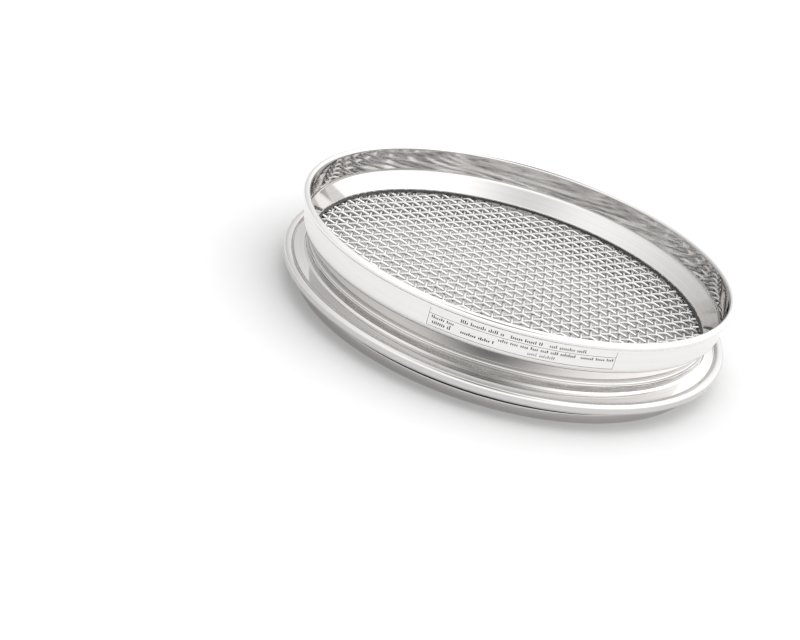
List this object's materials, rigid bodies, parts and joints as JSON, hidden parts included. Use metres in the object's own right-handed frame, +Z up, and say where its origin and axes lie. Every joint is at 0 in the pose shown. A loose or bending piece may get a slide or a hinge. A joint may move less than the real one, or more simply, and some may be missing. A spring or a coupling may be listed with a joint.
{
  "type": "soil sieve",
  "caption": "Round stainless test sieve: rolled rim, coned body with plain-woven wire cloth, curled flange bead and a skirt that nests in the next sieve's rim.",
  "frame": {"origin": "centre of the base plane, on the sieve's axis", "axes": "+Z up along the axis, from the skirt to the rim; +X along the warp wires, +Y along the weft wires"},
  "size_m": [0.2172, 0.2172, 0.0408],
  "materials": {
    "polished_steel": "polished stainless steel",
    "wire_steel": "bright drawn wire",
    "seam_metal": "satin",
    "sealant": "dark sealing fillet"
  },
  "bodies": {
    "root": {"upper_frame": "polished_steel", "lower_frame": "polished_steel", "seam_band": "seam_metal", "seal_ring": "sealant", "warp_wires_even": "wire_steel", "warp_wires_odd": "wire_steel", "weft_wires_even": "wire_steel", "weft_wires_odd": "wire_steel"}
  },
  "joints": []
}
